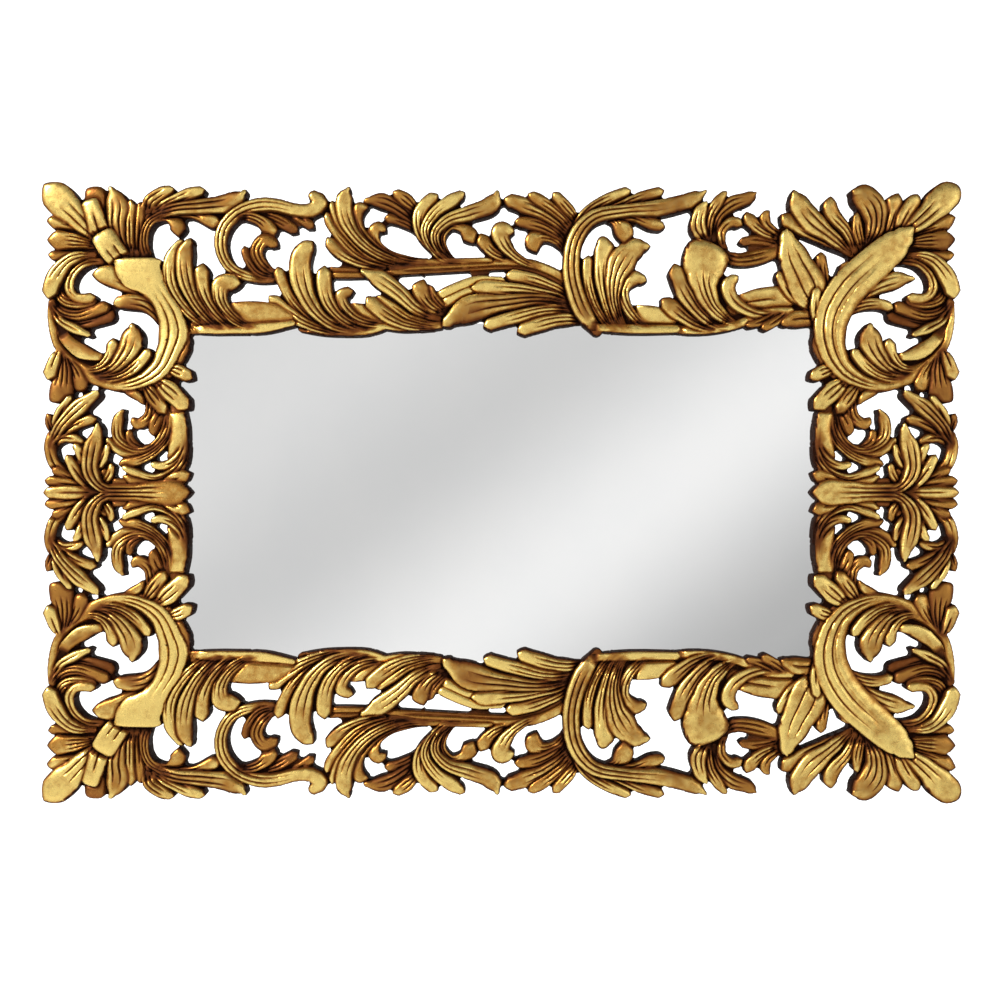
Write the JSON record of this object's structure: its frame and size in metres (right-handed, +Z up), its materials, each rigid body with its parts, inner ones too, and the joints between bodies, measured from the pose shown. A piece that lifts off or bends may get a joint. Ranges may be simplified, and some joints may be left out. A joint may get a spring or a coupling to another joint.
{
  "type": "wall mirror",
  "caption": "Landscape wall mirror with a plain pane in a pierced, carved wooden frame of gilded acanthus scrolls, hung from keyhole plates let into its back.",
  "frame": {"origin": "middle of the flat back, on the backing board, where the mirror lies against the wall", "axes": "+X to the viewer's right, +Y into the wall, +Z up; the carved face looks to -Y"},
  "size_m": [1.193, 0.0299, 0.807],
  "materials": {
    "gilding": "antique gold leaf, rubbed, over dark brown bole",
    "silvering": "plain silvered glass",
    "backing": "plain brown fibreboard",
    "steel": "zinc plated"
  },
  "bodies": {
    "root": {"carved_frame": "gilding", "mirror_glass": "silvering", "backing_board": "backing", "hanger_plate_left": "steel", "hanger_plate_right": "steel", "hanger_screw_left_1": "steel", "hanger_screw_left_2": "steel", "hanger_screw_right_1": "steel", "hanger_screw_right_2": "steel"}
  },
  "joints": []
}
